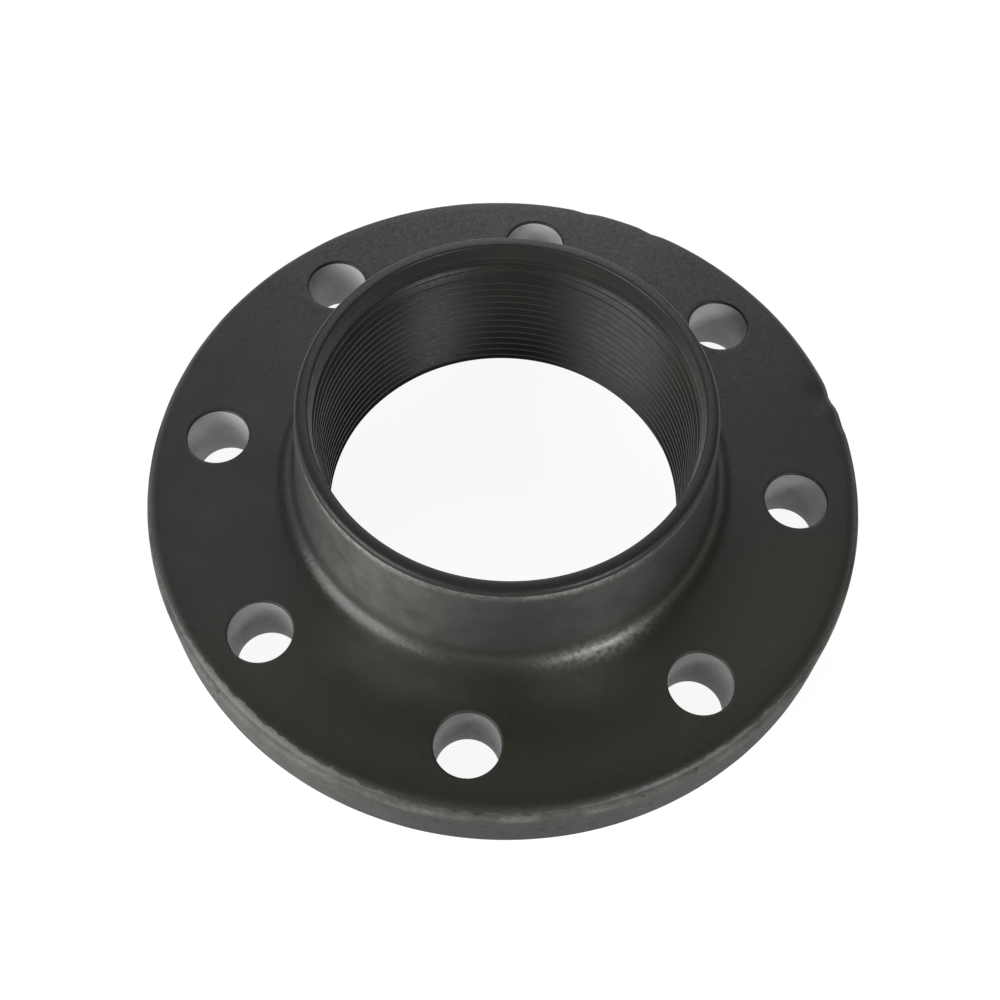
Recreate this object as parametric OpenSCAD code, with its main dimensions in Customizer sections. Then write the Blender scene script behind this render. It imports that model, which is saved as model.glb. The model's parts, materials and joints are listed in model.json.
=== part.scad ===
// Hubbed pipe flange with a female pipe thread: one forged piece, turned, drilled and tapped.
// The origin is the centre of the gasket face, and +Z runs along the bore to the hub's mouth.

/* [Plate] */
// Outside diameter of the plate
flange_d = 220; // [200:1:280]
// Thickness of the plate at its rim
plate_t = 23; // [14:0.5:32]
// Rounding of the rim's upper edge
rim_top_r = 4.5; // [0.5:0.25:5]
// Rounding of the rim's lower edge
rim_low_r = 1.5; // [0.5:0.25:5]

/* [Gasket face] */
// Diameter of the raised gasket face
face_d = 158; // [130:1:160]
// Height of the raised gasket face below the plate
face_h = 2; // [1:0.5:5]

/* [Hub] */
// Height of the flange from the gasket face to the hub's mouth
total_h = 62; // [54:1:80]
// Diameter of the hub at its mouth
hub_top_d = 122; // [120:0.5:128]
// Diameter at which the hub's tapered flank would meet the plate
hub_base_d = 129; // [125:0.5:140]
// Radius of the fillet between the flank and the plate
fillet_r = 7; // [2:0.5:12]
// Rounding of the mouth's outer edge
mouth_outer_r = 1.8; // [0.4:0.1:2.4]

/* [Threaded bore] */
// Diameter at the crests of the pipe thread
bore_d = 111; // [100:0.1:112.4]
// Diameter of the lead-in at the mouth
mouth_d = 114; // [113.4:0.1:116.4]
// Depth of the lead-in, which tapers from the mouth to the crests of the thread
lead_in_depth = 14; // [6:0.5:20]
// Diameter of the countersink at the gasket face
countersink_d = 121; // [115:0.5:122]
// Rounding of the mouth's inner edge
mouth_inner_r = 0.8; // [0.2:0.1:1.2]

/* [Bolt holes] */
// Number of bolt holes
hole_count = 8; // [4:1:12]
// Distance from the rim to the centre of a bolt hole
hole_inset = 20; // [15:0.5:24]
// Diameter of a bolt hole
hole_d = 19; // [12:0.5:22]
// Rounding of a bolt hole's edges
hole_edge_r = 0.8; // [0.2:0.1:2]

/* [Hidden] */

// Segments of the large circles, of the bolt holes and of the rounded edges
flange_fn = 144;
hole_fn = 48;
edge_fn = 64;
// Length by which a cutter stands clear of the faces that it cuts
cut_clear = 1;
// Length by which the arc of a rounded edge crosses the faces beside it, instead of only touching them
arc_overlap = 0.002;

flange_r = flange_d / 2;
face_r = face_d / 2;
hub_top_r = hub_top_d / 2;
hub_base_r = hub_base_d / 2;
bore_r = bore_d / 2;
mouth_r = mouth_d / 2;
countersink_r = countersink_d / 2;
hole_r = hole_d / 2;
hole_circle_r = flange_r - hole_inset;

// Corners of the section, as [radius, height]
plate_top = face_h + plate_t;
rim_low = [flange_r, face_h];
rim_top = [flange_r, plate_top];
flank_low = [hub_base_r, plate_top];
flank_top = [hub_top_r, total_h];
mouth_top = [mouth_r, total_h];
thread_top = [bore_r, total_h - lead_in_depth];
thread_low = [bore_r, countersink_r - bore_r];

// Directions along the section
inwards = [-1, 0];
outwards = [1, 0];
up = [0, 1];
down = [0, -1];

function along(from, to) = (to - from) / norm(to - from);

// What a rounding takes off a corner, or a fillet adds to it: the patch between the corner and an arc that
// touches both edges. The edges leave the corner along a and b.
module corner_patch(corner, a, b, r) {
    half_angle = acos(a * b) / 2;
    reach = r / tan(half_angle);
    centre = corner + along([0, 0], a + b) * r / sin(half_angle);
    behind = cut_clear * along([0, 0], a + b);
    difference() {
        polygon([corner - behind, corner + reach * a - behind, corner + reach * a, centre,
            corner + reach * b, corner + reach * b - behind]);
        translate(centre)
            circle(r + arc_overlap, $fn = edge_fn);
    }
}

// Half of the flange's section: the sharp outline, then its fillet and its rounded edges
module section() {
    difference() {
        union() {
            polygon([[countersink_r, 0], [face_r, 0], [face_r, face_h], rim_low, rim_top, flank_low,
                flank_top, mouth_top, thread_top, thread_low]);
            corner_patch(flank_low, outwards, along(flank_low, flank_top), fillet_r);
        }
        corner_patch(rim_low, inwards, up, rim_low_r);
        corner_patch(rim_top, inwards, down, rim_top_r);
        corner_patch(flank_top, inwards, along(flank_top, flank_low), mouth_outer_r);
        corner_patch(mouth_top, outwards, along(mouth_top, thread_top), mouth_inner_r);
    }
}

// Half of a bolt hole's section, with its edges flared at both faces of the plate
module hole_section() {
    low_edge = [hole_r, face_h];
    top_edge = [hole_r, plate_top];
    translate([0, -cut_clear])
        square([hole_r, plate_top + 2 * cut_clear]);
    corner_patch(low_edge, outwards, up, hole_edge_r);
    corner_patch(top_edge, outwards, down, hole_edge_r);
}

module flange() {
    color("#3a3b39")
        difference() {
            rotate_extrude($fn = flange_fn)
                section();
            for (i = [0 : hole_count - 1])
                rotate([0, 0, 360 * i / hole_count])
                    translate([hole_circle_r, 0, 0])
                        rotate_extrude($fn = hole_fn)
                            hole_section();
        }
}

flange();
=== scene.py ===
import json
import math

import bmesh
import bpy
import numpy as np
from mathutils import Matrix, Vector, noise


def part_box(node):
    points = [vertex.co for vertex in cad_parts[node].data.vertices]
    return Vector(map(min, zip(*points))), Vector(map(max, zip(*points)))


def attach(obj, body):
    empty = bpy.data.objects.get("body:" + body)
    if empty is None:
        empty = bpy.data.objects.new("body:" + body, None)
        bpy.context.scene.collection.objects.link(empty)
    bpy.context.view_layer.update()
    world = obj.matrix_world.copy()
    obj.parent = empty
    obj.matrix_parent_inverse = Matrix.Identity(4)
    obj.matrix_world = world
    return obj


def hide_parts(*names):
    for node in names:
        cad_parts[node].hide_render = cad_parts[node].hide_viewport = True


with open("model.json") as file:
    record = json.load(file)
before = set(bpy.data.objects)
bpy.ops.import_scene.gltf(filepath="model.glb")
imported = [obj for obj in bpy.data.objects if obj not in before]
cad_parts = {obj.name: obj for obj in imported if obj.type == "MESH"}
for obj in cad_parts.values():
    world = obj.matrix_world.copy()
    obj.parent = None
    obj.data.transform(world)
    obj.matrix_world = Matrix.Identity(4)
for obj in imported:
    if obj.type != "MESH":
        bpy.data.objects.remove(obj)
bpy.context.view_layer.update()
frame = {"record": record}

MM = 0.001

# Sizes that the frame gives, in metres
MOUNTS = {mount["name"]: mount["dims"] for mount in frame["record"]["mounts"]}
FLANGE_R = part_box("flange")[1][0]
TOTAL_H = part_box("flange")[1][2]
HOLE_COUNT = MOUNTS["bolt_circle"]["count"]
BOLT_CIRCLE_R = MOUNTS["bolt_circle"]["pcd_mm"] / 2 * MM
HOLE_R = MOUNTS["bolt_circle"]["hole_r_mm"] * MM
CREST_R = MOUNTS["pipe_thread"]["r_mm"] * MM

# Sizes of the turned section, the same as the solid's
PLATE_T = 23 * MM
FACE_R = 79 * MM
FACE_H = 2 * MM
RIM_TOP_R = 4.5 * MM
RIM_LOW_R = 1.5 * MM
HUB_TOP_R = 61 * MM
HUB_BASE_R = 64.5 * MM
FILLET_R = 7 * MM
MOUTH_R = 57 * MM
MOUTH_OUTER_R = 1.8 * MM
MOUTH_INNER_R = 0.8 * MM
LEAD_IN_DEPTH = 14 * MM
COUNTERSINK_R = 60.5 * MM
HOLE_EDGE_R = 0.8 * MM
PLATE_TOP = FACE_H + PLATE_T

# Pipe thread: eight turns to the inch, and its form as pairs of share of the pitch and share of the
# depth. It runs out in the lead-in, over the last stretch below its top.
THREAD_PITCH = 25.4 / 8 * MM
ROOT_R = 57.2 * MM
THREAD_FORM = ((0.00, 0.00), (0.08, 0.00), (0.13, 0.06), (0.39, 0.94), (0.44, 1.00),
               (0.56, 1.00), (0.61, 0.94), (0.87, 0.06), (0.92, 0.00))
THREAD_TOP = TOTAL_H - 4 * MM
THREAD_RUN_OUT = 6 * MM
THREAD_LOW = COUNTERSINK_R - ROOT_R

# Fineness of the mesh
SECTOR_SEGMENTS = 36
SIDE_SEGMENTS = 14
SEGMENTS = SECTOR_SEGMENTS * HOLE_COUNT
TOP_LOOPS = 9
BACK_LOOPS = 5
WALL_STEPS = 5
EDGE_STEPS = 4
FILLET_STEPS = 10
RIM_STEPS = 8
LONGEST_STEP = 1.6 * MM
MERGE_DISTANCE = 0.002 * MM
SHARP_ANGLE = math.radians(32)
ANGLES = 2 * math.pi * np.arange(SEGMENTS) / SEGMENTS - math.pi / HOLE_COUNT
# Exponent that crowds the plate's loops towards the holes
LOOP_CROWDING = 1.2

# Materials of the mesh, by slot number
SKIN, RIM, TURNED, DRILLED, FACED = range(5)
# Step of the rim's upper rounding where the rim's material ends and the skin's begins
SKIN_STEP = RIM_STEPS // 2

# Skin: depth and length of its waves and of its grain
WAVE_DEPTH = 0.12 * MM
WAVE_LENGTH = 16 * MM
GRAIN_DEPTH = 0.05 * MM
GRAIN_LENGTH = 3.2 * MM
# Knocks on the rim's upper edge: angle in degrees, depth, half width and reach down the rim
KNOCKS = ((81.4, 0.5 * MM, 2.6 * MM, 5 * MM), (68.9, 0.6 * MM, 3.0 * MM, 5 * MM),
          (22.1, 1.0 * MM, 3.2 * MM, 7 * MM), (16.6, 0.8 * MM, 2.4 * MM, 3 * MM))

# Patches of painted highlight on the hub's flank, on its upper edge and on the fillet, of painted light on
# the
# rim, and of painted sheen on the plate: angle and half width in degrees, and strength
LIT_FLANK_PATCHES = ((-122, 25, 1.0), (-56, 17, 0.5))
LIT_LIP_PATCHES = ((-124, 20, 1.0), (-62, 18, 0.8))
LIT_FILLET_PATCHES = ((-120, 14, 0.1), (-58, 12, 0.85))
LIT_RIM_PATCHES = ((-125, 28, 1.0), (-52, 26, 0.7))
SHEEN_PATCHES = ((-109, 16, 1.0), (-65, 12, 0.7))
# Radius of the patches of painted sheen and their half width across
SHEEN_R = 73 * MM
SHEEN_HALF_WIDTH = 9 * MM
# Bands of painted highlight below the mouth's rounding, which is also worn bare, and on the fillet: half
# widths, and how bare the first is all round
LIP_BAND = 1.5 * MM
LIP_BARE = 0.25
FILLET_HIGHLIGHT_BAND = 2.5 * MM
# Bright edges of the rim: radius and height of the middle, half width and strength
BRIGHT_EDGES = ((FLANGE_R - 0.05 * RIM_TOP_R, PLATE_TOP - 0.7 * RIM_TOP_R, 1.8 * MM, 1.0),
                (FLANGE_R - 0.3 * RIM_LOW_R, FACE_H + 0.3 * RIM_LOW_R, 1.0 * MM, 0.7))
# End of the rim's grey on its upper rounding, in shares of that radius: outside the patches of painted
# light, and how much higher up it lies inside them. The grey fades over this length to either side.
GREY_END = 1.2
GREY_RISE = 0.85
GREY_FADE = 1.2 * MM
# Half width of the painted shade along the border inside the rim
BORDER_SHADE_HALF_WIDTH = 5 * MM
# Direction, in degrees, of the side where the skin is tinted olive and shade is painted on the holes and the
# rim's border
OLIVE_AND_SHADE_SIDE = -75

# Range that most of a noise's values lie in
NOISE_LOW = 0.3
NOISE_HIGH = 0.7
# Heights of the bumps of the grain and of the facing cut, and the scale that sets its grooves 1 mm apart
GRAIN_BUMP = 0.15 * MM
FACING_BUMP = 0.1 * MM
FACING_SCALE = 314
# Sockets of the Mix node for each type of data: its two inputs and its result
MIX_SOCKETS = {"RGBA": (6, 7, 2), "FLOAT": (2, 3, 0)}

# Camera, as it stood for the photograph
CAMERA_AZIMUTH = math.radians(4.6)
CAMERA_ELEVATION = math.radians(60.38)
CAMERA_ROLL = math.radians(2.4)
CAMERA_DISTANCE = 444.0 * MM
CAMERA_LENS = 49.19
CAMERA_SENSOR = 36
CAMERA_CLIP = 10 * MM
AIM_RIGHT = -1.02 * MM
AIM_UP = 2.30 * MM

# Lights: direction to the right, ahead and up, distance, size, and the share of a plain white level that
# each gives at normal incidence
LIGHTS = {"left_light": ((-0.80, -0.45, 0.41), 1.2, 0.9, 1.4),
          "right_light": ((0.58, -0.67, 0.46), 1.2, 0.38, 0.62),
          "back_light": ((0.0, 0.80, 0.66), 1.4, 0.9, 0.52)}
WORLD_LIGHT = 0.08

# Floor and the wall round it
FLOOR_R = 6
FLOOR_GAP = 0.1 * MM
BACKDROP_H = 2.6
BACKDROP_SIDES = 64
# The floor's paint, and its thinner paint and its glow where it is seen straight or in a reflection
FLOOR_PAINT = 0.85
SEEN_PAINT = 0.16
SEEN_GLOW = 0.92


def smooth_step(value, low, high):
    share = np.clip((value - low) / (high - low), 0, 1)
    return share * share * (3 - 2 * share)


def bell(distance, half_width):
    """1 in the middle, falling off to both sides."""
    return np.exp(-(distance / half_width) ** 2)


def unit(vector):
    return vector / np.linalg.norm(vector)


def rounded(before, corner, after, radius, steps=EDGE_STEPS):
    """Points of the arc that rounds a corner of a path, from the edge before it to the edge after it."""
    before, corner, after = map(np.array, (before, corner, after))
    back = unit(before - corner)
    ahead = unit(after - corner)
    half = math.acos(back @ ahead) / 2
    centre = corner + unit(back + ahead) * radius / math.sin(half)
    start = corner + back * radius / math.tan(half) - centre
    end = corner + ahead * radius / math.tan(half) - centre
    turn = math.atan2(start[0] * end[1] - start[1] * end[0], start @ end)
    side = np.array((-start[1], start[0]))
    return [centre + start * math.cos(a) + side * math.sin(a) for a in np.linspace(0, turn, steps + 1)]


def split(path, longest=LONGEST_STEP):
    """The same path, with its long straight runs split into equal steps."""
    points = [np.array(path[0])]
    for a, b in zip(path, path[1:]):
        start = np.array(a)
        run = np.array(b) - start
        count = max(1, math.ceil(np.linalg.norm(run) / longest))
        points += [start + run * i / count for i in range(1, count + 1)]
    return points


class Shell:
    """Vertices and quads, gathered patch by patch, with the material of each quad."""

    def __init__(self):
        self.points = []
        self.quads = []
        self.materials = []

    def add_rows(self, rows, material, closed=True):
        """Quads between neighbouring rows of points. A closed patch joins its last column to its first."""
        rows = np.asarray(rows)
        row_count, column_count = rows.shape[:2]
        first = len(self.points)
        self.points += rows.reshape(-1, 3).tolist()
        for i in range(row_count - 1):
            low = first + i * column_count
            high = low + column_count
            for j in range(column_count if closed else column_count - 1):
                k = (j + 1) % column_count
                self.quads.append((low + j, low + k, high + k, high + j))
                self.materials.append(material)

    def add_rings(self, path, material):
        """The surface that a path of (radius, height) sweeps round the axis."""
        rows = [np.stack((r * np.cos(ANGLES), r * np.sin(ANGLES), np.full(SEGMENTS, z)), axis=1)
                for r, z in path]
        self.add_rows(rows, material)


def bore_radius(height):
    """Radius of the bore without its thread: countersink, crests and tapered lead-in."""
    countersink = COUNTERSINK_R - height
    lead_in = MOUTH_R - (MOUTH_R - CREST_R) * (TOTAL_H - height) / LEAD_IN_DEPTH
    return np.maximum(CREST_R, np.maximum(countersink, lead_in))


def thread_rows():
    """Rows of the pipe thread along its right-hand helix, cut off by the lead-in and the countersink."""
    turns = math.ceil((THREAD_TOP - THREAD_LOW) / THREAD_PITCH) + 1
    share = np.arange(SEGMENTS + 1) / SEGMENTS
    angle = ANGLES[0] + 2 * math.pi * share
    rows = []
    for turn in range(-1, turns):
        for along, depth in THREAD_FORM:
            height = THREAD_LOW + THREAD_PITCH * (turn + along + share)
            height = np.clip(height, THREAD_LOW, THREAD_TOP)
            crest = bore_radius(height)
            cut = depth * np.maximum(ROOT_R - crest, 0)
            radius = crest + cut * smooth_step(THREAD_TOP - height, 0, THREAD_RUN_OUT)
            rows.append(np.stack((radius * np.cos(angle), radius * np.sin(angle), height), axis=1))
    return rows


def hole_centre(index):
    angle = 2 * math.pi * index / HOLE_COUNT
    return BOLT_CIRCLE_R * np.array((math.cos(angle), math.sin(angle)))


def hole_circle(index, radius, turns):
    """Points round a hole's axis, in the given directions."""
    return hole_centre(index) + radius * np.stack((np.cos(turns), np.sin(turns)), axis=1)


def sector_outline(index, inner_r, outer_r):
    """Outline of the plate's sector round one hole: outer arc, side, inner arc and side."""
    angles = ANGLES[(np.arange(SECTOR_SEGMENTS + 1) + index * SECTOR_SEGMENTS) % SEGMENTS]
    radii = np.linspace(outer_r, inner_r, SIDE_SEGMENTS + 1)
    polar = [(outer_r, a) for a in angles]
    polar += [(r, angles[-1]) for r in radii[1:]]
    polar += [(inner_r, a) for a in angles[-2::-1]]
    polar += [(r, angles[0]) for r in radii[-2:0:-1]]
    return np.array([(r * math.cos(a), r * math.sin(a)) for r, a in polar])


def turns_round_hole(index, outline):
    """Direction of each point of an outline as seen from the hole's centre, without jumps."""
    offset = outline - hole_centre(index)
    start = 2 * math.pi * index / HOLE_COUNT
    turned = np.arctan2(offset[:, 1], offset[:, 0]) - start
    return np.unwrap((turned + math.pi) % (2 * math.pi) - math.pi) + start


def at_height(points, height):
    return np.column_stack((points, np.full(len(points), height)))


def plate_loops(index, outline, height, count):
    """Loops from a sector's outline in to the flared edge of its hole."""
    edge = hole_circle(index, HOLE_R + HOLE_EDGE_R, turns_round_hole(index, outline))
    shares = np.linspace(1, 0, count + 1) ** LOOP_CROWDING
    return [at_height(edge + (outline - edge) * share, height) for share in shares]


def hole_profile():
    """Section of a bolt hole from the plate's top to its back: the two flared edges."""
    top_edge = (HOLE_R, PLATE_TOP)
    low_edge = (HOLE_R, FACE_H)
    on_top = (2 * HOLE_R, PLATE_TOP)
    on_back = (2 * HOLE_R, FACE_H)
    top = rounded(on_top, top_edge, low_edge, HOLE_EDGE_R)
    low = rounded(top_edge, low_edge, on_back, HOLE_EDGE_R)
    return top, low


def add_hole(shell, index, top_outline, back_outline):
    """The flared edges and the drilled wall of one bolt hole."""
    top_turns = turns_round_hole(index, top_outline)
    back_turns = turns_round_hole(index, back_outline)

    def loops(profile):
        rows = []
        for r, z in profile:
            share = (PLATE_TOP - z) / PLATE_T
            turns = top_turns + (back_turns - top_turns) * share
            rows.append(at_height(hole_circle(index, r, turns), z))
        return rows

    top, low = hole_profile()
    wall = split([top[-1], low[0]], PLATE_T / WALL_STEPS)
    shell.add_rows(loops(top), SKIN)
    shell.add_rows(loops(wall), DRILLED)
    shell.add_rows(loops(low), FACED)


def flange_shell():
    """All patches of the flange: hub, bore, gasket face, back, rim, plate and bolt holes."""
    flank_low = (HUB_BASE_R, PLATE_TOP)
    flank_top = (HUB_TOP_R, TOTAL_H)
    mouth_top = (MOUTH_R, TOTAL_H)
    lead_in_low = (float(bore_radius(THREAD_TOP)), THREAD_TOP)
    rim_top = (FLANGE_R, PLATE_TOP)
    rim_low = (FLANGE_R, FACE_H)
    fillet = rounded(rim_top, flank_low, flank_top, FILLET_R, FILLET_STEPS)
    mouth_outer = rounded(flank_low, flank_top, mouth_top, MOUTH_OUTER_R)
    mouth_inner = rounded(flank_top, mouth_top, lead_in_low, MOUTH_INNER_R)
    low_edge = rounded((FACE_R, FACE_H), rim_low, rim_top, RIM_LOW_R)
    top_edge = rounded(rim_low, rim_top, flank_low, RIM_TOP_R, RIM_STEPS)

    shell = Shell()
    shell.add_rings(split(fillet + mouth_outer[:1]), SKIN)
    shell.add_rings(split(mouth_outer + mouth_inner + [lead_in_low]), TURNED)
    shell.add_rows(thread_rows(), TURNED, closed=False)
    shell.add_rings([(ROOT_R, THREAD_LOW), (COUNTERSINK_R, 0)], TURNED)
    shell.add_rings(split([(COUNTERSINK_R, 0), (FACE_R, 0), (FACE_R, FACE_H)]), FACED)
    shell.add_rings(split(low_edge + top_edge[:SKIN_STEP + 1]), RIM)
    shell.add_rings(top_edge[SKIN_STEP:], SKIN)
    for index in range(HOLE_COUNT):
        top_outline = sector_outline(index, fillet[0][0], top_edge[-1][0])
        back_outline = sector_outline(index, FACE_R, low_edge[0][0])
        shell.add_rows(plate_loops(index, top_outline, PLATE_TOP, TOP_LOOPS), SKIN)
        shell.add_rows(plate_loops(index, back_outline, FACE_H, BACK_LOOPS), FACED)
        add_hole(shell, index, top_outline, back_outline)
    return shell


def from_axis(points):
    """Distance of each point from the axis of the bore."""
    return np.hypot(points[:, 0], points[:, 1])


def from_hole_axis(points):
    """Distance of each point from the axis of the nearest bolt hole."""
    centres = np.array([hole_centre(i) for i in range(HOLE_COUNT)])
    return np.min(np.linalg.norm(points[:, None, :2] - centres[None], axis=2), axis=1)


def degrees_from(points, middle):
    """Turn of each point round the bore's axis, in degrees to either side of a middle direction."""
    turn = np.degrees(np.arctan2(points[:, 1], points[:, 0]))
    return (turn - middle + 180) % 360 - 180


def skin_share(points):
    """1 on the rough skin, 0 on what was turned or drilled, with soft borders."""
    outside = smooth_step(from_axis(points), HUB_TOP_R - 0.8 * MM, HUB_TOP_R)
    above = smooth_step(points[:, 2], FACE_H, FACE_H + RIM_LOW_R)
    undrilled = smooth_step(from_hole_axis(points), HOLE_R + 0.1 * MM, HOLE_R + 1.5 * MM)
    return outside * above * undrilled


def skin_depth(points):
    """Depth of the skin's waves and grain at each point, never above the nominal surface."""
    depths = []
    for point in map(Vector, points):
        wave = noise.noise(point / WAVE_LENGTH)
        grain = noise.noise(point / GRAIN_LENGTH)
        depths.append(WAVE_DEPTH * (0.5 + 0.5 * wave) + GRAIN_DEPTH * (0.5 + 0.5 * grain))
    return np.clip(depths, 0, None)


def knock_depth(points):
    """Depth of the knocks on the rim at each point."""
    from_edge = np.hypot(PLATE_TOP - points[:, 2], FLANGE_R - from_axis(points))
    depth = np.zeros(len(points))
    for middle, deepest, half_width, reach in KNOCKS:
        along_rim = np.radians(degrees_from(points, middle)) * FLANGE_R
        depth += deepest * bell(along_rim, half_width) * bell(from_edge, reach)
    return depth


def patch_share(points, patches):
    """How much each point lies in patches round the axis: most in the middle of a patch."""
    share = np.zeros(len(points))
    for middle, half_width, strength in patches:
        share += strength * bell(degrees_from(points, middle), half_width)
    return share


def bare_and_highlight_share(points):
    """1 where the hub's mouth is worn bare below its rounding, and where highlights are painted there and
    along the fillet.
    """
    radius = from_axis(points)
    below = TOTAL_H - 1.2 * MOUTH_OUTER_R - points[:, 2]
    lip = bell(below, LIP_BAND) * (radius > HUB_TOP_R - MOUTH_OUTER_R)
    on_lip = lip * (LIP_BARE + patch_share(points, LIT_LIP_PATCHES))
    middle_r = HUB_BASE_R + 0.33 * FILLET_R
    middle_z = PLATE_TOP + 0.25 * FILLET_R
    away = np.hypot(radius - middle_r, points[:, 2] - middle_z)
    on_fillet = bell(away, FILLET_HIGHLIGHT_BAND) * patch_share(points, LIT_FILLET_PATCHES)
    return np.clip(on_lip + on_fillet, 0, 1)


def edge_wear(points):
    """1 along the rim's edges that handling rubs bright, falling off beside them."""
    radius = from_axis(points)
    wear = np.zeros(len(points))
    for edge_r, edge_z, half_width, most in BRIGHT_EDGES:
        away = np.hypot(radius - edge_r, points[:, 2] - edge_z)
        wear = np.maximum(wear, most * bell(away, half_width))
    return wear


def rim_share(points):
    """1 where the rim is rubbed to a lighter grey, which reaches further up where light is painted on the
    rim.
    """
    over_edge = from_axis(points) - (FLANGE_R - RIM_TOP_R) + PLATE_TOP - points[:, 2]
    grey_end = RIM_TOP_R * (GREY_END - GREY_RISE * patch_share(points, LIT_RIM_PATCHES))
    return smooth_step(over_edge - grey_end, -GREY_FADE, GREY_FADE)


def border_shade_share(points):
    """Painted shade: 1 where the plate's top meets its rim, falling to 0 inwards."""
    return bell(FLANGE_R - RIM_TOP_R - from_axis(points), BORDER_SHADE_HALF_WIDTH)


def flank_share(points):
    """1 on the hub's flank, which is a lighter grey than the plate."""
    low = PLATE_TOP + 0.3 * FILLET_R
    return smooth_step(points[:, 2], low, low + FILLET_R) * (from_axis(points) < HUB_BASE_R + FILLET_R)


def lip_share(points):
    """1 on the flat of the hub's mouth and its roundings."""
    return smooth_step(points[:, 2], TOTAL_H - MOUTH_OUTER_R, TOTAL_H - 0.4 * MOUTH_OUTER_R)


def lead_in_share(points):
    """1 on the plain lead-in above the thread, which the tool left duller."""
    above = smooth_step(points[:, 2], THREAD_TOP - THREAD_RUN_OUT, THREAD_TOP)
    return above * (1 - lip_share(points)) * (from_axis(points) < MOUTH_R)


def deep_fill_light_share(points):
    """Painted light: 1 at the bore's lower end, which it lightens where the depth shades it, falling to 0
    towards its mouth.
    """
    return 1 - smooth_step(points[:, 2], 0, 0.75 * TOTAL_H)


def groove_share(points):
    """1 at the roots of the thread, 0 at its crests."""
    radius = from_axis(points)
    depth = (radius - bore_radius(points[:, 2])) / (ROOT_R - CREST_R)
    return np.clip(depth, 0, 1) * (radius < ROOT_R + 0.1 * MM)


def fillet_share(points):
    """1 along the middle of the fillet, which is smoother than the skin beside it."""
    middle = 0.3 * FILLET_R
    away = np.hypot(from_axis(points) - HUB_BASE_R - middle, points[:, 2] - PLATE_TOP - middle)
    return 1 - smooth_step(away, 0.3 * FILLET_R, 0.8 * FILLET_R)


def olive_and_shade_share(points):
    """1 on the side where the skin is tinted olive and shade is painted on the holes and the rim's border,
    falling to 0 towards the other side.
    """
    turn = math.radians(OLIVE_AND_SHADE_SIDE)
    across = points[:, 0] * math.cos(turn) + points[:, 1] * math.sin(turn)
    return smooth_step(across, -0.5 * FLANGE_R, 0.9 * FLANGE_R)


def sheen_share(points):
    """Painted sheen: 1 in the middle of its patches, at the foot of the fillet."""
    return bell(from_axis(points) - SHEEN_R, SHEEN_HALF_WIDTH) * patch_share(points, SHEEN_PATCHES)


def surface_marks(points):
    """The marks that the materials read, by name, with a value for each point."""
    return {
        "wear": edge_wear(points),
        # Bare wear below the mouth, and painted highlights there and on the fillet
        "bare_and_highlight": bare_and_highlight_share(points),
        "rim": rim_share(points),
        # Patches where light is painted on the rim
        "rim_lit": patch_share(points, LIT_RIM_PATCHES),
        # Painted shade along the rim's border
        "border_shade": border_shade_share(points),
        "flank": flank_share(points),
        # Painted highlights on the hub's flank
        "rubbed_and_lit": patch_share(points, LIT_FLANK_PATCHES) * flank_share(points),
        "groove": groove_share(points),
        "fillet": fillet_share(points),
        # Olive tint of the skin, and painted shade on the holes and the rim's border
        "olive_and_shade": olive_and_shade_share(points),
        # Painted sheen on the plate
        "film_and_sheen": sheen_share(points),
        "lip": lip_share(points),
        "lead_in": lead_in_share(points),
        # Painted light in the bore's shaded depth
        "deep_fill_light": deep_fill_light_share(points),
    }


def build_flange(materials):
    """The flange's mesh: its patches merged, its skin sunk into the relief, and its marks."""
    shell = flange_shell()
    mesh = bpy.data.meshes.new("flange_body")
    mesh.from_pydata(shell.points, [], shell.quads)
    mesh.polygons.foreach_set("material_index", shell.materials)
    for material in materials:
        mesh.materials.append(material)

    work = bmesh.new()
    work.from_mesh(mesh)
    bmesh.ops.remove_doubles(work, verts=work.verts, dist=MERGE_DISTANCE)
    bmesh.ops.dissolve_degenerate(work, edges=work.edges, dist=MERGE_DISTANCE)
    bmesh.ops.recalc_face_normals(work, faces=work.faces)
    work.normal_update()
    points = np.array([v.co for v in work.verts])
    normals = np.array([v.normal for v in work.verts])
    depth = skin_depth(points) * skin_share(points) + knock_depth(points)
    for vertex, moved in zip(work.verts, points - normals * depth[:, None]):
        vertex.co = moved
    work.to_mesh(mesh)
    work.free()

    mesh.shade_smooth()
    mesh.set_sharp_from_angle(angle=SHARP_ANGLE)
    for name, values in surface_marks(points).items():
        attribute = mesh.attributes.new(name, "FLOAT", "POINT")
        attribute.data.foreach_set("value", np.asarray(values, dtype=np.float32))
    piece = bpy.data.objects.new("flange_body", mesh)
    bpy.context.scene.collection.objects.link(piece)
    return piece


def set_socket(tree, socket, value):
    """Set an input socket to a constant, or link an output socket to it."""
    if isinstance(value, bpy.types.NodeSocket):
        tree.links.new(value, socket)
    else:
        socket.default_value = value


def feed(tree, node, **inputs):
    """Give a node its inputs by name. Underscores stand for spaces."""
    for name, value in inputs.items():
        set_socket(tree, node.inputs[name.replace("_", " ")], value)


def put(tree, kind, settings=None, **inputs):
    """A new node, with its settings and its inputs."""
    node = tree.nodes.new(kind)
    for name, value in (settings or {}).items():
        setattr(node, name, value)
    feed(tree, node, **inputs)
    return node


def grey(level, warm=0.0):
    """A linear grey, a little yellow where warm is above 0."""
    return (level * (1 + warm), level * (1 + warm), level * (1 - warm), 1)


def noise_at(tree, place, length, detail):
    """Noise whose features are about as long as given, in metres."""
    return put(tree, "ShaderNodeTexNoise", Vector=place, Scale=1 / length, Detail=detail).outputs["Fac"]


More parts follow.
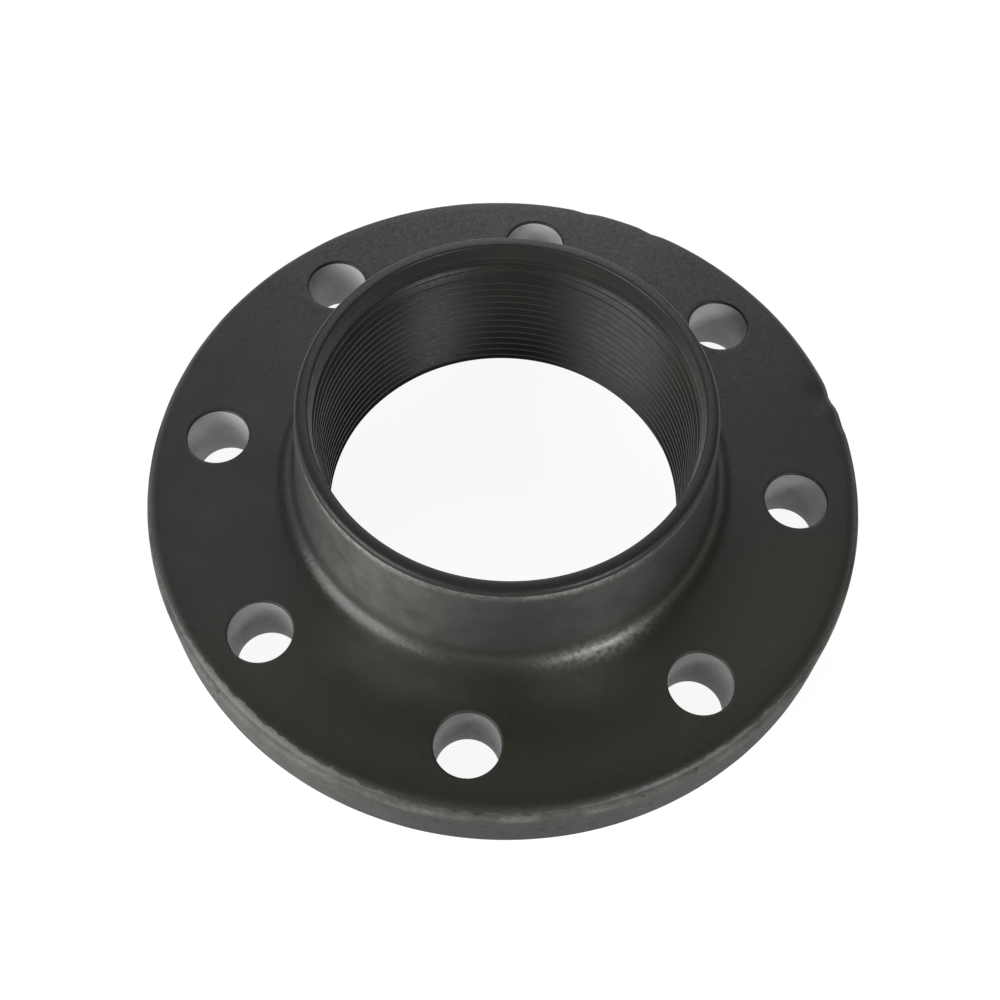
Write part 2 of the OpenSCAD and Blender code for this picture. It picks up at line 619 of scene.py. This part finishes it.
def ranged(tree, value, from_low, from_high, to_low=0.0, to_high=1.0):
    """A value carried over from one range to another, and held at the ends."""
    node = put(tree, "ShaderNodeMapRange", Value=value, From_Min=from_low, From_Max=from_high,
               To_Min=to_low, To_Max=to_high)
    return node.outputs["Result"]


def spread(tree, value, to_low=0.0, to_high=1.0):
    """A noise carried over from its usual range to another."""
    return ranged(tree, value, NOISE_LOW, NOISE_HIGH, to_low, to_high)


def calculated(tree, operation, a, b):
    """The result of an operation on two values."""
    node = put(tree, "ShaderNodeMath", {"operation": operation})
    set_socket(tree, node.inputs[0], a)
    set_socket(tree, node.inputs[1], b)
    return node.outputs["Value"]


def product(tree, a, b):
    return calculated(tree, "MULTIPLY", a, b)


def mixed(tree, data_type, share, a, b):
    """a where the share is 0 and b where it is 1."""
    first, second, result = MIX_SOCKETS[data_type]
    node = put(tree, "ShaderNodeMix", {"data_type": data_type})
    set_socket(tree, node.inputs[0], share)
    set_socket(tree, node.inputs[first], a)
    set_socket(tree, node.inputs[second], b)
    return node.outputs[result]


def blended(tree, share, a, b):
    return mixed(tree, "RGBA", share, a, b)


def blended_value(tree, share, a, b):
    return mixed(tree, "FLOAT", share, a, b)


def mark(tree, name):
    """A mark that the mesh carries at its points."""
    return put(tree, "ShaderNodeAttribute", {"attribute_name": name}).outputs["Fac"]


def new_material(name):
    material = bpy.data.materials.new(name)
    material.use_nodes = True
    tree = material.node_tree
    place = put(tree, "ShaderNodeTexCoord").outputs["Object"]
    return material, tree, tree.nodes["Principled BSDF"], place


def bump(tree, height, strength, distance):
    node = put(tree, "ShaderNodeBump", Height=height, Strength=strength, Distance=distance)
    return node.outputs["Normal"]


def skin_colour(tree, place):
    """Mottled charcoal, tinted olive on one side, with painted shade there along the rim's border, and with
    pits.
    """
    charcoal = grey(0.013, -0.02)
    light_charcoal = grey(0.019, -0.02)
    olive = grey(0.017, 0.16)
    border_shade_black = grey(0.006, 0.1)
    pit_black = grey(0.006)
    mottle = ranged(tree, noise_at(tree, place, 22 * MM, 4), 0.35, 0.65)
    clouds = ranged(tree, noise_at(tree, place, 60 * MM, 2), 0.3, 0.6, 0.6, 1.0)
    pits = ranged(tree, noise_at(tree, place, 3.0 * MM, 2), 0.70, 0.76, 0.0, 0.5)
    olive_and_shade = mark(tree, "olive_and_shade")
    # Painted shade along the rim's border, on one side
    border_shade = product(tree, mark(tree, "border_shade"), product(tree, olive_and_shade, 0.45))
    colour = blended(tree, mottle, charcoal, light_charcoal)
    colour = blended(tree, product(tree, olive_and_shade, clouds), colour, olive)
    colour = blended(tree, border_shade, colour, border_shade_black)
    return blended(tree, pits, colour, pit_black)


def rim_colour(tree, place):
    """The skin's colour, rubbed on the rim to a patchy grey with a ragged end and lighter where light is
    painted, and with bright edges.
    """
    dark_grey = grey(0.030, 0.03)
    lit_rim_grey = grey(0.080, 0.03)
    speck_grey = grey(0.02, 0.05)
    edge_grey = grey(0.12, 0.04)
    patchy = spread(tree, noise_at(tree, place, 7 * MM, 5), 0.7, 1.1)
    specks = ranged(tree, noise_at(tree, place, 2.2 * MM, 4), 0.64, 0.74, 0.0, 0.35)
    ragged = spread(tree, noise_at(tree, place, 3.4 * MM, 6), -0.45, 0.45)
    scuffs = ranged(tree, noise_at(tree, place, 1.6 * MM, 6), 0.35, 0.65, 0.4, 1.0)
    stretches = ranged(tree, noise_at(tree, place, 14 * MM, 5), 0.36, 0.60)
    # Painted light: the rim's grey is lighter in patches on its lit sides
    rubbed_and_lit = blended(tree, product(tree, mark(tree, "rim_lit"), patchy), dark_grey, lit_rim_grey)
    rubbed_and_lit = blended(tree, specks, rubbed_and_lit, speck_grey)
    worn = ranged(tree, calculated(tree, "ADD", mark(tree, "rim"), ragged), 0.46, 0.72)
    bright = product(tree, product(tree, mark(tree, "wear"), stretches), scuffs)
    colour = blended(tree, worn, skin_colour(tree, place), rubbed_and_lit)
    return blended(tree, bright, colour, edge_grey)


def skin_material():
    """Black skin with a fine grain, lighter on the hub's flank and worn bare below its mouth, with painted
    highlights on the flank, the mouth's edge and the fillet, and painted sheen on the plate.
    """
    sheen_grey = grey(0.056, 0.06)
    flank_grey = grey(0.024, 0.02)
    flank_highlight_grey = grey(0.085, 0.04)
    bare_and_highlight_steel = grey(0.20, 0.04)
    material, tree, shader, place = new_material("black_skin")
    grain = noise_at(tree, place, 1.3 * MM, 6)
    clouds = ranged(tree, noise_at(tree, place, 12 * MM, 4), 0.3, 0.65, 0.5, 1.0)
    patchy = ranged(tree, noise_at(tree, place, 7 * MM, 5), 0.3, 0.6, 0.5, 1.0)
    chips = ranged(tree, noise_at(tree, place, 1.5 * MM, 5), 0.36, 0.60, 0.25, 1.0)
    fillet = mark(tree, "fillet")
    colour = rim_colour(tree, place)
    # Painted sheen on the plate, in patches at the foot of the fillet
    colour = blended(tree, product(tree, mark(tree, "film_and_sheen"), clouds), colour, sheen_grey)
    colour = blended(tree, mark(tree, "flank"), colour, flank_grey)
    # Painted highlights on the hub's flank, in patches on its lit sides
    colour = blended(tree, product(tree, mark(tree, "rubbed_and_lit"), patchy), colour, flank_highlight_grey)
    # Bare wear all round below the mouth's rounding, with painted highlights there and on the fillet
    colour = blended(tree, product(tree, mark(tree, "bare_and_highlight"), chips), colour, bare_and_highlight_steel)
    dull = spread(tree, grain, 0.42, 0.58)
    smooth = spread(tree, grain, 0.26, 0.38)
    coarse = product(tree, grain, ranged(tree, fillet, 0, 1, 0.5, 1.6))
    feed(tree, shader, Base_Color=colour, Roughness=blended_value(tree, fillet, dull, smooth),
         Specular_IOR_Level=0.3, Normal=bump(tree, coarse, 0.36, GRAIN_BUMP))
    return material


def rim_material():
    """The rim, which is duller than the skin."""
    material, tree, shader, place = new_material("worn_rim")
    grain = noise_at(tree, place, 1.3 * MM, 6)
    feed(tree, shader, Base_Color=rim_colour(tree, place), Roughness=spread(tree, grain, 0.55, 0.72),
         Specular_IOR_Level=0.06, Normal=bump(tree, grain, 0.4, GRAIN_BUMP))
    return material


def turned_material():
    """Oiled steel of the bore and of the hub's mouth, dark, with fine marks of the tool."""
    black = grey(0.009)
    oil_brown = grey(0.015, 0.12)
    fill_light_grey = grey(0.022, 0.04)
    groove_brown = grey(0.016, 0.10)
    lip_grey = grey(0.017, 0.02)
    material, tree, shader, place = new_material("turned_bore")
    film_and_sheen = ranged(tree, noise_at(tree, place, 14 * MM, 4), 0.35, 0.7)
    grain = noise_at(tree, place, 1.0 * MM, 4)
    colour = blended(tree, film_and_sheen, black, oil_brown)
    # Painted light: lighter towards the bore's lower end, where its depth shades it
    colour = blended(tree, mark(tree, "deep_fill_light"), colour, fill_light_grey)
    colour = blended(tree, product(tree, mark(tree, "groove"), 0.6), colour, groove_brown)
    colour = blended(tree, mark(tree, "lip"), colour, lip_grey)
    threaded = spread(tree, grain, 0.30, 0.44)
    plain = spread(tree, grain, 0.44, 0.58)
    feed(tree, shader, Base_Color=colour,
         Roughness=blended_value(tree, mark(tree, "lead_in"), threaded, plain),
         Specular_IOR_Level=0.2, Normal=bump(tree, grain, 0.25, GRAIN_BUMP))
    return material


def drilled_material():
    """Bare grey steel of the drilled bolt holes, darker on one side with painted shade."""
    material, tree, shader, place = new_material("drilled_holes")
    stain = spread(tree, noise_at(tree, place, 9 * MM, 4))
    grain = noise_at(tree, place, 0.9 * MM, 4)
    clean = blended(tree, stain, grey(0.38), grey(0.48))
    # Painted shade: the walls are darker on one side
    shaded = blended(tree, stain, grey(0.11), grey(0.17))
    feed(tree, shader, Base_Color=blended(tree, mark(tree, "olive_and_shade"), clean, shaded),
         Roughness=spread(tree, grain, 0.45, 0.62), Metallic=0.2,
         Normal=bump(tree, grain, 0.25, GRAIN_BUMP))
    return material


def faced_material():
    """Turned steel of the gasket face and of the plate's back, with the fine grooves of its facing cut."""
    material, tree, shader, place = new_material("faced_back")
    film_and_sheen = noise_at(tree, place, 25 * MM, 4)
    rings = put(tree, "ShaderNodeTexWave", {"wave_type": "RINGS", "rings_direction": "Z"},
                Vector=place, Scale=FACING_SCALE, Distortion=0.0).outputs["Fac"]
    colour = blended(tree, ranged(tree, film_and_sheen, 0.35, 0.65), grey(0.10), grey(0.17, 0.03))
    feed(tree, shader, Base_Color=colour, Roughness=spread(tree, film_and_sheen, 0.32, 0.45), Metallic=0.7,
         Normal=bump(tree, rings, 0.3, FACING_BUMP))
    return material


def camera_axes():
    """Right, up and back of the camera before its roll."""
    a = CAMERA_AZIMUTH
    e = CAMERA_ELEVATION
    right = Vector((math.cos(a), math.sin(a), 0))
    back = Vector((math.sin(a) * math.cos(e), -math.cos(a) * math.cos(e), math.sin(e)))
    return right, back.cross(right), back


def add_camera():
    right, up, back = camera_axes()
    place = right * AIM_RIGHT + up * AIM_UP + back * CAMERA_DISTANCE
    rolled_right = right * math.cos(CAMERA_ROLL) + up * math.sin(CAMERA_ROLL)
    rolled_up = up * math.cos(CAMERA_ROLL) - right * math.sin(CAMERA_ROLL)
    turned = Matrix((rolled_right, rolled_up, back)).transposed().to_4x4()
    data = bpy.data.cameras.new("camera")
    data.lens = CAMERA_LENS
    data.sensor_width = CAMERA_SENSOR
    data.clip_start = CAMERA_CLIP
    camera = bpy.data.objects.new("camera", data)
    camera.matrix_world = Matrix.Translation(place) @ turned
    bpy.context.scene.collection.objects.link(camera)
    bpy.context.scene.camera = camera


def add_light(name, direction, distance, size, level):
    """A square soft light that gives the level as a share of plain white at normal incidence."""
    right, up, back = camera_axes()
    ahead = Vector((-back.x, -back.y, 0)).normalized()
    towards = right * direction[0] + ahead * direction[1] + Vector((0, 0, direction[2]))
    towards.normalize()
    data = bpy.data.lights.new(name, "AREA")
    data.size = size
    data.energy = level * math.pi ** 2 * distance ** 2
    light = bpy.data.objects.new(name, data)
    light.location = towards * distance
    light.rotation_mode = "QUATERNION"
    light.rotation_quaternion = (-towards).to_track_quat("-Z", "Y")
    bpy.context.scene.collection.objects.link(light)


def floor_material():
    """White paint that keeps the shadow. Seen straight or in a reflection it is near white."""
    material = bpy.data.materials.new("white_floor")
    material.use_nodes = True
    tree = material.node_tree
    tree.nodes.clear()
    rays = put(tree, "ShaderNodeLightPath").outputs
    seen = rays["Is Camera Ray"]
    for kind in ("Is Glossy Ray", "Is Transmission Ray"):
        seen = calculated(tree, "MAXIMUM", seen, rays[kind])
    paint = put(tree, "ShaderNodeBsdfDiffuse", Color=grey(FLOOR_PAINT)).outputs["BSDF"]
    thin_paint = put(tree, "ShaderNodeBsdfDiffuse", Color=grey(SEEN_PAINT)).outputs["BSDF"]
    glow = put(tree, "ShaderNodeEmission", Color=grey(SEEN_GLOW), Strength=1.0).outputs["Emission"]
    white = tree.nodes.new("ShaderNodeAddShader")
    tree.links.new(thin_paint, white.inputs[0])
    tree.links.new(glow, white.inputs[1])
    choice = put(tree, "ShaderNodeMixShader", Fac=seen)
    tree.links.new(paint, choice.inputs[1])
    tree.links.new(white.outputs["Shader"], choice.inputs[2])
    put(tree, "ShaderNodeOutputMaterial", Surface=choice.outputs["Shader"])
    return material


def add_floor():
    """A round floor with a low wall round it."""
    turns = 2 * math.pi * np.arange(BACKDROP_SIDES) / BACKDROP_SIDES
    ring = FLOOR_R * np.stack((np.cos(turns), np.sin(turns)), axis=1)
    corners = np.concatenate((at_height(ring, -FLOOR_GAP), at_height(ring, BACKDROP_H)))
    low = np.arange(BACKDROP_SIDES)
    ahead = np.roll(low, -1)
    wall = np.stack((low, ahead, ahead + BACKDROP_SIDES, low + BACKDROP_SIDES), axis=1)
    mesh = bpy.data.meshes.new("floor")
    mesh.from_pydata(corners.tolist(), [], [low.tolist()] + wall.tolist())
    mesh.materials.append(floor_material())
    floor = bpy.data.objects.new("floor", mesh)
    bpy.context.scene.collection.objects.link(floor)


def set_world():
    world = bpy.data.worlds.new("studio")
    world.use_nodes = True
    background = world.node_tree.nodes["Background"]
    background.inputs["Color"].default_value = (1, 1, 1, 1)
    background.inputs["Strength"].default_value = WORLD_LIGHT
    bpy.context.scene.world = world


bpy.context.scene.view_settings.view_transform = "Standard"
add_camera()
set_world()
add_floor()
for light_name, light_settings in LIGHTS.items():
    add_light(light_name, *light_settings)

flange_materials = [skin_material(), rim_material(), turned_material(), drilled_material(), faced_material()]
flange = build_flange(flange_materials)
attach(flange, "root")
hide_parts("flange")
